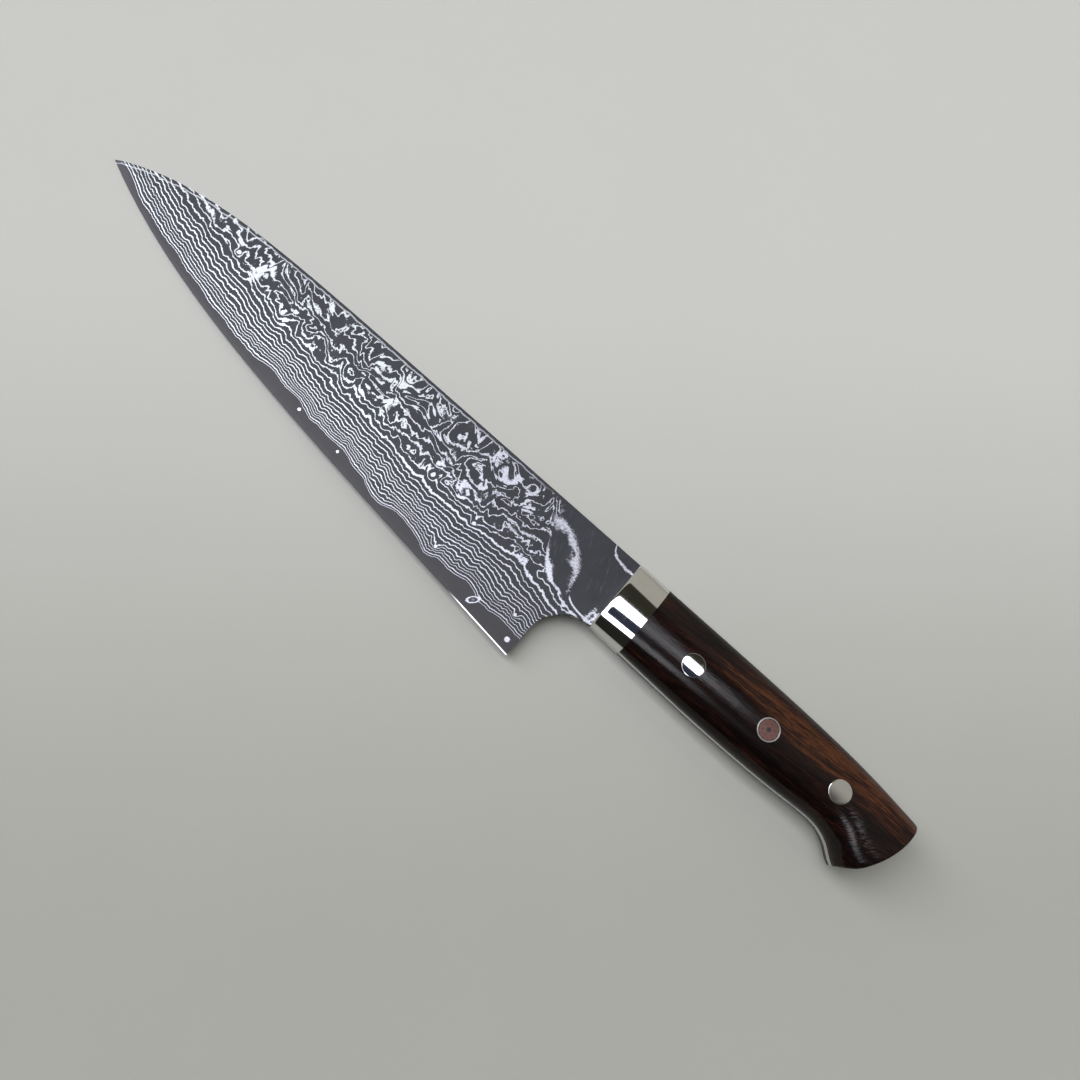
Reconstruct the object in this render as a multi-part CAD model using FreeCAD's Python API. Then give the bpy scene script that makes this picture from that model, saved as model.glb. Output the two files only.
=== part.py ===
import FreeCAD, Part

import math
import os

from FreeCAD import Vector

# Kitchen knife of the Japanese gyuto pattern: laminated blade with a full tang, a two-piece
# bolster, two wooden scales, two cutlery rivets and one mosaic pin. Millimetres.
#
# It is drawn with X from the bolster's front towards the butt, Y from the edge towards the
# spine and Z out through the left face, and is then moved so that the origin is the centre
# of the bottom of its box: the knife lies on its right side.

# ---- driving dimensions ------------------------------------------------------------------

# Blade, measured from the front of the bolster and from the spine there
BLADE_LENGTH = 197.5
HEEL_BACK = 12.5  # the heel corner is this far in front of the bolster
HEEL_Y = -46.2
SPINE_Y = -0.1
EDGE_LEAN = 21.5  # how far the straight part of the edge climbs from heel to tip
EDGE_BELLY = 13.2  # how far the curve of the belly adds to that at the tip
EDGE_POWER = 4.8
SPINE_CROWN = 2.0
SPINE_DROP = 13.4
SPINE_POWER = 8.8
CHOIL_TOP_Y = -23.7  # the choil is a quarter circle that ends level with the bolster's belly

# Thickness of the blade and tang, and of the hard core between the two claddings
TANG_THICK = 2.2
TIP_THICK = 0.8
CORE_THICK = 0.86
CORE_TIP_THICK = 0.44
GRIND_SHARE = 0.6  # share of the blade's height that the grind takes
GRIND_LEAST = 3.0  # least height of the grind, at the tip
GRIND_ROUND = 0.3  # 0 is a flat grind, more is more convex
BEHIND_EDGE = 0.15  # half thickness that the grind runs out to at the edge
EDGE_HALF = 0.03  # half thickness left at the sharpened edge
BEVEL_SLOPE = 0.17  # each side of the sharpened bevel

# Handle sections: x, belly y, spine y, half thickness, half width of the flat strip
HANDLE_SECTIONS = (
    (-6.0, -23.6, -0.1, 5.9, 2.0),
    (0.0, -23.7, -0.25, 6.25, 2.0),
    (12.0, -24.1, -0.5, 7.0, 1.8),
    (25.0, -24.6, -0.65, 7.8, 1.5),
    (40.0, -25.1, -0.85, 8.4, 1.3),
    (57.0, -25.15, -1.2, 8.75, 1.3),
    (70.0, -24.8, -1.65, 8.75, 1.3),
    (80.0, -24.25, -2.2, 8.75, 1.3),
    (86.0, -24.5, -2.65, 8.85, 1.3),
    (91.0, -26.4, -3.1, 9.05, 1.3),
    (95.5, -29.8, -3.6, 9.3, 1.3),
    (101.0, -32.2, -4.3, 9.55, 1.3),
    (107.0, -33.2, -5.1, 9.75, 1.3),
    (113.0, -33.4, -6.0, 9.8, 1.3),
)
SECTION_POWER = 2.3  # 2 is an ellipse, more is squarer
SECTION_STEPS = 12

# Butt, from above the rounded top corner down to the beak's tip and past it
BUTT_CURVE = (
    (104.0, -3.4),
    (106.0, -4.6),
    (107.5, -5.3),
    (108.3, -6.3),
    (108.4, -8.5),
    (107.9, -12.5),
    (106.8, -17.0),
    (104.6, -22.1),
    (101.0, -27.3),
    (96.3, -30.3),
    (88.0, -35.0),
)
BUTT_REACH = 10.7  # half thickness at which the butt's rounding would close
BUTT_DEPTH = 2.2  # how far the butt's faces curve forward at their sides
BUTT_POWER = 3.0
BUTT_LEVELS = (-0.99, -0.94, -0.86, -0.72, -0.5, -0.25, 0, 0.25, 0.5, 0.72, 0.86, 0.94, 0.99)
BOLSTER_LENGTH = 11.4
BOLSTER_ROUND = 0.5

# Fasteners
PIN_RADIUS = 3.5
PIN_Y = -14.3
FRONT_RIVET_X = 29.6
MOSAIC_PIN_X = 57.2
REAR_RIVET_X = 83.6
RIVET_HEAD_FLOOR = 3.2  # distance of the heads' inner faces from the middle plane
RIVET_BARREL_RADIUS = 2.2
RIVET_STEM_RADIUS = 1.4
RIVET_STEM_END = 0.6  # gap left in front of the stem in its blind barrel
DOWEL_RADIUS = 1.25
DOWEL_REACH = 4.0  # how far each dowel stands out of the middle plane
DOWEL_X = 6.0
DOWEL_YS = (-7.5, -18.5)
HEAD_OVERLAP = 0.5  # how far each barrel and stem runs into its head
MOSAIC_WALL = 0.4
ROD_SHARE = 0.97  # radius of the rods as a share of a tight fit's

# Cutting tools
FAR = 150.0  # longer than anything on the handle
PAST_BLADE = 10.0  # how far a tool runs past the tip
PAST_BOLSTER = 2.0  # and past the bolster's front
PAST_EDGE = 2.0  # and below the edge
GRIND_REACH = 50.0  # height above the edge that covers the whole blade
BEVEL_REACH = 5.0
TOOL_DEPTH = 4.0
TOUCH = 0.01  # closer than this counts as touching
TOOL_STATIONS = 16
TOOL_STEPS = 10
OUTLINE_SHARES = (0.0, 0.2, 0.4, 0.6, 0.75, 0.85, 0.93, 1.0)

# ---- formulas that the outline and the grind share ------------------------------------------


def edge_y(x):
    """Height of the cutting edge: a straight lean plus the belly's curve."""
    s = (-HEEL_BACK - x) / (BLADE_LENGTH - HEEL_BACK)
    return HEEL_Y + EDGE_LEAN * s + EDGE_BELLY * math.copysign(abs(s) ** EDGE_POWER, s)


def spine_y(x):
    """Height of the spine: nearly straight, then dropping to the tip."""
    s = max(0.0, -x / BLADE_LENGTH)
    return SPINE_Y + SPINE_CROWN * s - SPINE_DROP * s**SPINE_POWER


def half_thickness(x):
    """Half the blade's thickness on its flat upper part, tapering to the tip."""
    return (TANG_THICK - (TANG_THICK - TIP_THICK) * max(0.0, -x / BLADE_LENGTH)) / 2


def grind_half(x, above):
    """Half thickness of the ground lower part, at a height above the edge."""
    grind_height = max(GRIND_LEAST, GRIND_SHARE * (spine_y(x) - edge_y(x)))
    u = above / grind_height
    rise = (1 + GRIND_ROUND) * u / (1 + GRIND_ROUND * u)
    return BEHIND_EDGE + (half_thickness(x) - BEHIND_EDGE) * rise


# ---- small helpers --------------------------------------------------------------------------


def box(low, high):
    size = [b - a for a, b in zip(low, high)]
    return Part.makeBox(*size, Vector(*low))


def spline(points):
    curve = Part.BSplineCurve()
    curve.interpolate([Vector(*p) for p in points])
    return curve.toShape()


def line(a, b):
    return Part.makeLine(Vector(*a), Vector(*b))


def prism_z(edges):
    """Solid of a closed outline in XY, tall enough to pass through the whole knife."""
    face = Part.Face(Part.Wire(edges))
    face.translate(Vector(0, 0, -FAR / 2))
    return face.extrude(Vector(0, 0, FAR))


def prism_y(points):
    """Solid of a closed polygon of (x, z) points, long enough in Y for the whole knife."""
    corners = [Vector(x, -FAR / 2, z) for x, z in points]
    face = Part.Face(Part.makePolygon(corners + corners[:1]))
    return face.extrude(Vector(0, FAR, 0))


def pin(radius, x, y, z_low, z_high):
    return Part.makeCylinder(radius, z_high - z_low, Vector(x, y, z_low), Vector(0, 0, 1))


def both_sides(shape):
    """The shape and its mirror image in the blade's middle plane."""
    return [shape, shape.mirror(Vector(0, 0, 0), Vector(0, 0, 1))]


# ---- blade and tang -------------------------------------------------------------------------


def blade_profile():
    """Side view of the blade, closed along the front of the bolster."""
    tip_y = edge_y(-BLADE_LENGTH)
    spine = [(-BLADE_LENGTH * k, spine_y(-BLADE_LENGTH * k), 0) for k in OUTLINE_SHARES]
    spine[-1] = (-BLADE_LENGTH, tip_y, 0)
    span = BLADE_LENGTH - HEEL_BACK
    edge = [(-HEEL_BACK - span * k, edge_y(-HEEL_BACK - span * k), 0) for k in OUTLINE_SHARES]
    heel = (-HEEL_BACK, HEEL_Y, 0)
    upright_top = (-HEEL_BACK, CHOIL_TOP_Y - HEEL_BACK, 0)
    choil_top = (0, CHOIL_TOP_Y, 0)
    diagonal = HEEL_BACK * math.sqrt(0.5)
    middle = (-diagonal, upright_top[1] + diagonal, 0)
    choil = Part.Arc(Vector(*upright_top), Vector(*middle), Vector(*choil_top)).toShape()
    return [
        spline(spine),
        spline(edge[::-1]),
        line(heel, upright_top),
        choil,
        line(choil_top, spine[0]),
    ]


def surface_cutter(height, reach):
    """Block above a surface given by height(x, distance above the edge)."""
    span = PAST_BOLSTER + BLADE_LENGTH + PAST_BLADE
    rows = []
    for i in range(TOOL_STATIONS):
        x = PAST_BOLSTER - span * i / (TOOL_STATIONS - 1)
        row = []
        for j in range(TOOL_STEPS):
            above = -PAST_EDGE + (reach + PAST_EDGE) * j / (TOOL_STEPS - 1)
            row.append(Vector(x, edge_y(x) + above, height(x, above)))
        rows.append(row)
    surface = Part.BSplineSurface()
    surface.interpolate(rows)
    return surface.toShape().extrude(Vector(0, 0, TOOL_DEPTH))


def bevel_half(x, above):
    return EDGE_HALF + BEVEL_SLOPE * above


def taper_prism(thick, tip_thick):
    """Slab that is even along the tang and tapers in a straight line along the blade."""
    slope = (tip_thick - thick) / 2 / BLADE_LENGTH
    x = -BLADE_LENGTH - PAST_BLADE
    half = thick / 2
    end = half - slope * x
    return prism_y([(FAR, half), (0, half), (x, end), (x, -end), (0, -half), (FAR, -half)])


def make_steel(handle_form):
    """The whole laminated blank: ground blade in front, full tang behind."""
    slab = taper_prism(TANG_THICK, TIP_THICK)
    blade = prism_z(blade_profile()).common(slab)
    for cutter in both_sides(surface_cutter(grind_half, GRIND_REACH)):
        blade = blade.cut(cutter)
    for cutter in both_sides(surface_cutter(bevel_half, BEVEL_REACH)):
        blade = blade.cut(cutter)
    tang = handle_form.common(slab)
    return blade.fuse(tang).removeSplitter()


# ---- handle ---------------------------------------------------------------------------------


def handle_section(x, belly, spine, half, strip):
    """Closed section: a flat strip at belly and spine, a domed side between them."""
    middle = (belly + spine) / 2
    tall = (spine - belly) / 2
    side = []
    for i in range(SECTION_STEPS + 1):
        t = math.pi * i / SECTION_STEPS
        c = math.cos(t)
        y = middle + tall * math.copysign(abs(c) ** (2 / SECTION_POWER), c)
        z = strip + (half - strip) * math.sin(t) ** (2 / SECTION_POWER)
        side.append((x, y, z))
    side[0] = (x, spine, strip)
    side[-1] = (x, belly, strip)
    mirrored = [(a, b, -c) for a, b, c in side[::-1]]
    return Part.Wire(
        [
            spline(side),
            line(side[-1], mirrored[0]),
            spline(mirrored),
            line(mirrored[-1], side[0]),
        ]
    )


def butt_cutter():
    """Everything behind the butt, whose face follows its curve and rounds off to both sides."""
    curve = Part.BSplineCurve()
    curve.interpolate([Vector(x, y, 0) for x, y in BUTT_CURVE])
    first, last = curve.FirstParameter, curve.LastParameter
    stations = 2 * len(BUTT_CURVE)
    rows = []
    for i in range(stations):
        at = first + (last - first) * i / (stations - 1)
        point = curve.value(at)
        along = curve.tangent(at)[0]
        inward = Vector(along.y, -along.x, 0)
        row = []
        for level in BUTT_LEVELS:
            depth = BUTT_DEPTH * (1 - (1 - abs(level) ** BUTT_POWER) ** (1 / BUTT_POWER))
            row.append(point + inward * depth + Vector(0, 0, level * BUTT_REACH))
        rows.append(row)
    surface = Part.BSplineSurface()
    surface.interpolate(rows)
    return surface.toShape().extrude(Vector(FAR, 0, 0))


def make_handle_form():
    sections = [handle_section(*row) for row in HANDLE_SECTIONS]
    form = Part.makeLoft(sections, True, False)
    form = form.common(box((0, -FAR, -FAR), (FAR, FAR, FAR)))
    return form.cut(butt_cutter())


def round_edges(shape, radius, wanted):
    edges = [e for e in shape.Edges if wanted(e.BoundBox)]
    return shape.makeFillet(radius, edges)


def is_front_arch(bounds):
    """True for the long curved edge of the bolster's front face."""
    return bounds.XMax < TOUCH and bounds.ZLength > BOLSTER_ROUND


def half_of(shape, side, x_low, x_high):
    """The part of the handle form on one side of the tang, between two stations."""
    inner = side * TANG_THICK / 2
    outer = side * FAR
    return shape.common(box((x_low, -FAR, min(inner, outer)), (x_high, FAR, max(inner, outer))))


# ---- fasteners ------------------------------------------------------------------------------


def make_rivet(x, handle_form):
    """Cutlery rivet: a head with a hollow barrel, and a head with a stem pressed into it."""
    female_head = pin(PIN_RADIUS, x, PIN_Y, RIVET_HEAD_FLOOR, FAR).common(handle_form)
    barrel_end = RIVET_HEAD_FLOOR + HEAD_OVERLAP
    barrel = pin(RIVET_BARREL_RADIUS, x, PIN_Y, -RIVET_HEAD_FLOOR, barrel_end)
    hollow = pin(RIVET_STEM_RADIUS, x, PIN_Y, -FAR, RIVET_HEAD_FLOOR)
    female = female_head.fuse(barrel).cut(hollow).removeSplitter()
    male_head = pin(PIN_RADIUS, x, PIN_Y, -FAR, -RIVET_HEAD_FLOOR).common(handle_form)
    stem_top = RIVET_HEAD_FLOOR - RIVET_STEM_END
    stem = pin(RIVET_STEM_RADIUS, x, PIN_Y, -RIVET_HEAD_FLOOR - HEAD_OVERLAP, stem_top)
    return female, male_head.fuse(stem).removeSplitter()


def rivet_hole(x):
    barrel = pin(RIVET_BARREL_RADIUS, x, PIN_Y, -FAR, FAR)
    left_head = pin(PIN_RADIUS, x, PIN_Y, RIVET_HEAD_FLOOR, FAR)
    right_head = pin(PIN_RADIUS, x, PIN_Y, -FAR, -RIVET_HEAD_FLOOR)
    return barrel.fuse([left_head, right_head])


def mosaic_rod_centres():
    """Eighteen rods round a centre one: six touching it, and twelve outside those."""
    inside = PIN_RADIUS - MOSAIC_WALL
    rod = inside / (1 + 1 / math.sin(math.pi / 12))
    outer_ring = inside - rod
    centres = []
    for i in range(6):
        angle = math.pi / 3 * i
        centres.append((2 * rod * math.cos(angle), 2 * rod * math.sin(angle)))
    for i in range(12):
        angle = math.pi / 6 * (i + 0.5)
        centres.append((outer_ring * math.cos(angle), outer_ring * math.sin(angle)))
    return rod, centres


def make_mosaic_pin(handle_form):
    """Tube, bundle of rods, centre rod and the resin that fills the gaps."""
    bore = pin(PIN_RADIUS - MOSAIC_WALL, MOSAIC_PIN_X, PIN_Y, -FAR, FAR)
    tube = pin(PIN_RADIUS, MOSAIC_PIN_X, PIN_Y, -FAR, FAR).cut(bore)
    rod, centres = mosaic_rod_centres()
    radius = rod * ROD_SHARE
    rods = [pin(radius, MOSAIC_PIN_X + dx, PIN_Y + dy, -FAR, FAR) for dx, dy in centres]
    centre_rod = pin(radius, MOSAIC_PIN_X, PIN_Y, -FAR, FAR)
    resin = bore.cut(Part.makeCompound(rods + [centre_rod]))
    return {
        "mosaic_pin_tube": tube.common(handle_form),
        "mosaic_pin_rods": Part.makeCompound([r.common(handle_form) for r in rods]),
        "mosaic_pin_centre": centre_rod.common(handle_form),
        "mosaic_pin_resin": resin.common(handle_form),
    }


# ---- assembly -------------------------------------------------------------------------------


def make_parts():
    form = make_handle_form()
    steel = make_steel(form)

    rivet_holes = [rivet_hole(FRONT_RIVET_X), rivet_hole(REAR_RIVET_X)]
    mosaic_hole = pin(PIN_RADIUS, MOSAIC_PIN_X, PIN_Y, -FAR, FAR)
    dowels = [pin(DOWEL_RADIUS, DOWEL_X, y, -DOWEL_REACH, DOWEL_REACH) for y in DOWEL_YS]
    holes = Part.makeCompound(rivet_holes + [mosaic_hole] + dowels)

    steel = steel.cut(holes)
    core_slab = taper_prism(CORE_THICK, CORE_TIP_THICK)
    cladding = steel.cut(core_slab)
    above = box((-FAR * 2, -FAR, 0), (FAR, FAR, FAR))
    below = box((-FAR * 2, -FAR, -FAR), (FAR, FAR, 0))
    parts = {
        "blade_core": steel.common(core_slab),
        "cladding_left": cladding.common(above),
        "cladding_right": cladding.common(below),
    }

    for name, side in (("left", 1), ("right", -1)):
        bolster = half_of(form, side, 0, BOLSTER_LENGTH)
        bolster = round_edges(bolster, BOLSTER_ROUND, is_front_arch)
        parts["bolster_" + name] = bolster.cut(holes)
        scale = half_of(form, side, BOLSTER_LENGTH, FAR)
        parts["scale_" + name] = scale.cut(holes)

    for place, dowel in zip(("upper", "lower"), dowels):
        parts["bolster_dowel_" + place] = dowel
    for name, x in (("front_rivet", FRONT_RIVET_X), ("rear_rivet", REAR_RIVET_X)):
        parts[name + "_female"], parts[name + "_male"] = make_rivet(x, form)
    parts.update(make_mosaic_pin(form))
    return parts


def main():
    parts = make_parts()
    whole = Part.makeCompound(list(parts.values())).optimalBoundingBox()
    shift = Vector(-whole.Center.x, -whole.Center.y, -whole.ZMin)
    os.makedirs("parts", exist_ok=True)
    for name, shape in parts.items():
        placed = shape.translated(shift)
        placed.exportStep("parts/" + name + ".step")
        volume = round(placed.Volume, 2)
        print(name, "solids", len(placed.Solids), "volume", volume, "valid", placed.isValid())
    print("size", [round(v, 2) for v in (whole.XLength, whole.YLength, whole.ZLength)])
    print("shift", [round(v, 3) for v in shift])


main()
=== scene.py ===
import math

import bmesh
import bpy
from mathutils import Matrix, Vector


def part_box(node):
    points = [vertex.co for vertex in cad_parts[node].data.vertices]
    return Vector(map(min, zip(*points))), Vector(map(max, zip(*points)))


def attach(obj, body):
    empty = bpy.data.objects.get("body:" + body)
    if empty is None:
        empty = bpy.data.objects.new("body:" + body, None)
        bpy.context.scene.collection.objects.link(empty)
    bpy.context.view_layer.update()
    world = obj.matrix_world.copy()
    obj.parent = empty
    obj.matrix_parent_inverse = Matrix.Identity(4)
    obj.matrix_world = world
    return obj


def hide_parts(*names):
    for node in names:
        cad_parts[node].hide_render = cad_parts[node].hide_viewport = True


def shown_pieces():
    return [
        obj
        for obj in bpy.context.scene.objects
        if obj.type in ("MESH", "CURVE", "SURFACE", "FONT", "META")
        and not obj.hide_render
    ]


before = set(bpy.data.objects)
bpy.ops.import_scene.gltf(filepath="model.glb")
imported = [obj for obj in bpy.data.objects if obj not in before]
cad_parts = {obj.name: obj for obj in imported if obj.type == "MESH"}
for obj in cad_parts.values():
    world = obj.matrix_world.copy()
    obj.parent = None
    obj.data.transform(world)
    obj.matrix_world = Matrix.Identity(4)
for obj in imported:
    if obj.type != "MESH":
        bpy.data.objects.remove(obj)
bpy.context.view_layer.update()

# Kitchen knife with a laminated blade, lying on its right side. The CAD model gives its box
# and places. The visible pieces are meshes made here from the same dimensions, in
# millimetres: X from the bolster's front to the butt, Y from the edge to the spine and Z out
# through the left face. at() turns them into the frame's metres.

# ---- dimensions, as in the CAD model ---------------------------------------------------------

BLADE_LENGTH = 197.5
HEEL_BACK = 12.5
HEEL_Y = -46.2
SPINE_Y = -0.1
EDGE_LEAN = 21.5
EDGE_BELLY = 13.2
EDGE_POWER = 4.8
SPINE_CROWN = 2.0
SPINE_DROP = 13.4
SPINE_POWER = 8.8
CHOIL_TOP_Y = -23.7
TANG_HALF = 1.1
TIP_HALF = 0.4
CORE_HALF = 0.43
CORE_TIP_HALF = 0.22
GRIND_SHARE = 0.6
GRIND_LEAST = 3.0
GRIND_ROUND = 0.3
BEHIND_EDGE = 0.15
EDGE_HALF = 0.03
BEVEL_SLOPE = 0.17

# x, belly y, spine y, half thickness, half width of the flat strip
HANDLE_SECTIONS = (
    (-6.0, -23.6, -0.1, 5.9, 2.0),
    (0.0, -23.7, -0.25, 6.25, 2.0),
    (12.0, -24.1, -0.5, 7.0, 1.8),
    (25.0, -24.6, -0.65, 7.8, 1.5),
    (40.0, -25.1, -0.85, 8.4, 1.3),
    (57.0, -25.15, -1.2, 8.75, 1.3),
    (70.0, -24.8, -1.65, 8.75, 1.3),
    (80.0, -24.25, -2.2, 8.75, 1.3),
    (86.0, -24.5, -2.65, 8.85, 1.3),
    (91.0, -26.4, -3.1, 9.05, 1.3),
    (95.5, -29.8, -3.6, 9.3, 1.3),
    (101.0, -32.2, -4.3, 9.55, 1.3),
    (107.0, -33.2, -5.1, 9.75, 1.3),
    (113.0, -33.4, -6.0, 9.8, 1.3),
)
SECTION_POWER = 2.3
BUTT_CURVE = (
    (104.0, -3.4),
    (106.0, -4.6),
    (107.5, -5.3),
    (108.3, -6.3),
    (108.4, -8.5),
    (107.9, -12.5),
    (106.8, -17.0),
    (104.6, -22.1),
    (101.0, -27.3),
    (96.3, -30.3),
    (88.0, -35.0),
)
BUTT_REACH = 10.7
BUTT_DEPTH = 2.2
BUTT_POWER = 3.0
BOLSTER_LENGTH = 11.4
PIN_RADIUS = 3.5
PIN_Y = -14.3
FRONT_RIVET_X = 29.6
MOSAIC_PIN_X = 57.2
REAR_RIVET_X = 83.6
MOSAIC_WALL = 0.4
HEAD_FLOOR = 3.2
BARREL_RADIUS = 2.2
STEM_RADIUS = 1.4
STEM_END = 2.6
DOWEL_RADIUS = 1.25
DOWEL_REACH = 4.0
DOWEL_X = 6.0
DOWEL_YS = (-7.5, -18.5)

# ---- the frame -------------------------------------------------------------------------------

MM = 0.001
bolster_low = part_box("bolster_left")[0]
core_low, core_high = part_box("blade_core")
ORIGIN = Vector((bolster_low[0], core_low[1] - HEEL_Y * MM, (core_low[2] + core_high[2]) / 2))


def at(x, y, z=0.0):
    """A point of the knife, in the frame's metres."""
    return ORIGIN + Vector((x, y, z)) * MM


# ---- shape formulas --------------------------------------------------------------------------

HALVINGS = 40  # steps of each search by halving
BUTT_SEARCH = (60.0, 112.0)
BUTT_STEPS = 60


def edge_y(x):
    s = (-HEEL_BACK - x) / (BLADE_LENGTH - HEEL_BACK)
    return HEEL_Y + EDGE_LEAN * s + EDGE_BELLY * math.copysign(abs(s) ** EDGE_POWER, s)


def spine_y(x):
    s = max(0.0, -x / BLADE_LENGTH)
    return SPINE_Y + SPINE_CROWN * s - SPINE_DROP * s**SPINE_POWER


def choil_y(x):
    """Lower outline between the heel and the bolster: a quarter circle."""
    return CHOIL_TOP_Y - HEEL_BACK + math.sqrt(max(0.0, HEEL_BACK**2 - x * x))


def taper(root, tip, x):
    return root + (tip - root) * max(0.0, -x / BLADE_LENGTH)


def grind_half(x, above):
    grind_height = max(GRIND_LEAST, GRIND_SHARE * (spine_y(x) - edge_y(x)))
    u = max(0.0, above) / grind_height
    flat = taper(TANG_HALF, TIP_HALF, x)
    rise = (1 + GRIND_ROUND) * u / (1 + GRIND_ROUND * u)
    return min(flat, BEHIND_EDGE + (flat - BEHIND_EDGE) * rise)


def blade_half(x, y):
    above = y - edge_y(x)
    return min(grind_half(x, above), EDGE_HALF + BEVEL_SLOPE * above)


def clad_y(x):
    """Where the grind comes down to the core: the lower border of the cladding."""
    core = taper(CORE_HALF, CORE_TIP_HALF, x)
    low, high = 0.0, spine_y(x) - edge_y(x)
    for _ in range(HALVINGS):
        middle = (low + high) / 2
        if blade_half(x, edge_y(x) + middle) < core:
            low = middle
        else:
            high = middle
    return edge_y(x) + low


def blend_value(knots, column, x):
    """Smooth curve through one column of a table of rows that start with x."""
    i = 1
    while i < len(knots) - 3 and knots[i + 1][0] <= x:
        i += 1
    a, b, c, d = knots[i - 1 : i + 3]
    span = c[0] - b[0]
    slope_b = (c[column] - a[column]) / (c[0] - a[0]) * span
    slope_c = (d[column] - b[column]) / (d[0] - b[0]) * span
    t = (x - b[0]) / span
    rise = c[column] - b[column]
    return (
        b[column]
        + slope_b * t
        + (3 * rise - 2 * slope_b - slope_c) * t**2
        + (slope_b + slope_c - 2 * rise) * t**3
    )


def handle_row(x):
    """Belly y, spine y, half thickness and strip half width of the handle at x."""
    return [blend_value(HANDLE_SECTIONS, k, x) for k in (1, 2, 3, 4)]


def handle_point(x, turn, inset=0.0):
    """(y, z) on the left side's section at x: turn 0 is at the spine, pi at the belly."""
    belly, spine, half, strip = handle_row(x)
    c = math.cos(turn)
    s = max(0.0, math.sin(turn))
    shape = 2 / SECTION_POWER
    y = (belly + spine) / 2 + (spine - belly) / 2 * math.copysign(abs(c) ** shape, c)
    return y, strip + (half - inset - strip) * s**shape


def handle_surface(x, y):
    """z of the left side's surface over the point (x, y)."""
    belly, spine, half, strip = handle_row(x)
    share = min(1.0, abs(y - (belly + spine) / 2) / ((spine - belly) / 2))
    s = math.sqrt(max(0.0, 1 - share**SECTION_POWER))
    return strip + (half - strip) * s ** (2 / SECTION_POWER)


def butt_points(depth):
    """The butt's curve, moved forward by depth, as points from the spine down."""
    points = []
    for k in range(BUTT_STEPS + 1):
        u = k / BUTT_STEPS * (len(BUTT_CURVE) - 3) + 1
        i = min(int(u), len(BUTT_CURVE) - 3)
        t = u - i
        a, b, c, d = (Vector(p) for p in BUTT_CURVE[i - 1 : i + 3])
        point = b + (c - a) * t / 2 + (2 * a - 5 * b + 4 * c - d) * t**2 / 2
        point += (3 * b - a - 3 * c + d) * t**3 / 2
        slope = (c - a) / 2 * (1 - t) + (d - b) / 2 * t
        points.append(point + Vector((slope.y, -slope.x)).normalized() * depth)
    return points


BUTT_LEVELS = 24
butt_lines = []
for level in range(BUTT_LEVELS + 1):
    share = level / BUTT_LEVELS
    butt_lines.append(butt_points(BUTT_DEPTH * (1 - (1 - share**BUTT_POWER) ** (1 / BUTT_POWER))))


def line_x(points, y):
    for a, b in zip(points, points[1:]):
        if b.y <= y:
            return a.x + (b.x - a.x) * min(1.0, max(0.0, (y - a.y) / (b.y - a.y)))
    return points[-1].x


def butt_x(y, z):
    """Where the butt's face stands, for a height y and a distance z from the middle."""
    at_level = min(abs(z) / BUTT_REACH, 1.0) * BUTT_LEVELS
    i = min(int(at_level), BUTT_LEVELS - 1)
    low, high = line_x(butt_lines[i], y), line_x(butt_lines[i + 1], y)
    return low + (high - low) * (at_level - i)


def end_x(point_at):
    """The x where a line along the handle, given by point_at(x), meets the butt."""
    low, high = BUTT_SEARCH
    for _ in range(HALVINGS):
        middle = (low + high) / 2
        y, z = point_at(middle)
        if middle < butt_x(y, z):
            low = middle
        else:
            high = middle
    return low


# ---- meshes ----------------------------------------------------------------------------------

CREASE = math.radians(28)
MERGE = 1e-7
AROUND = 64  # points round each turned solid
DRILL_REACH = 12.0


def steps(low, high, count):
    return [low + (high - low) * k / count for k in range(count + 1)]


def grid_faces(grid):
    """Quads between neighbours of a grid of vertex numbers, with None where there is none."""
    faces = []
    for row, following in zip(grid, grid[1:]):
        for j in range(len(row) - 1):
            quad = (row[j], following[j], following[j + 1], row[j + 1])
            if None not in quad:
                faces.append(quad)
    return faces


def rim_edges(faces):
    """Edges that only one face has, in that face's order."""
    count = {}
    for face in faces:
        for a, b in zip(face, face[1:] + face[:1]):
            count[frozenset((a, b))] = count.get(frozenset((a, b)), 0) + 1
    found = []
    for face in faces:
        for a, b in zip(face, face[1:] + face[:1]):
            if count[frozenset((a, b))] == 1:
                found.append((a, b))
    return found


def thick_sheet(top, bottom, faces, wall_steps=1, settle=None):
    """Closed solid between two sheets of the same layout. settle moves the walls' points."""
    points = list(top) + list(bottom)
    count = len(top)
    solid = list(faces)
    solid += [tuple(count + v for v in reversed(face)) for face in faces]
    wall = {}

    def wall_point(v, step):
        if step == 0:
            return v
        if step == wall_steps:
            return count + v
        if (v, step) not in wall:
            place = top[v].lerp(bottom[v], step / wall_steps)
            points.append(settle(place) if settle else place)
            wall[v, step] = len(points) - 1
        return wall[v, step]

    for a, b in rim_edges(faces):
        for k in range(wall_steps):
            solid.append(
                (wall_point(b, k), wall_point(a, k), wall_point(a, k + 1), wall_point(b, k + 1))
            )
    return points, solid


def turned(x, y, rings):
    """Closed solid of (radius, z) rings turned round the upright line at (x, y)."""
    points, faces = [], []
    for radius, height in rings:
        for k in range(AROUND):
            angle = 2 * math.pi * k / AROUND
            px, py = x + radius * math.cos(angle), y + radius * math.sin(angle)
            points.append(Vector((px, py, height(px, py) if callable(height) else height)))
    for i in range(len(rings) - 1):
        for k in range(AROUND):
            n = (k + 1) % AROUND
            faces.append((i * AROUND + k, i * AROUND + n, (i + 1) * AROUND + n, (i + 1) * AROUND + k))
    return points, faces


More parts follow.
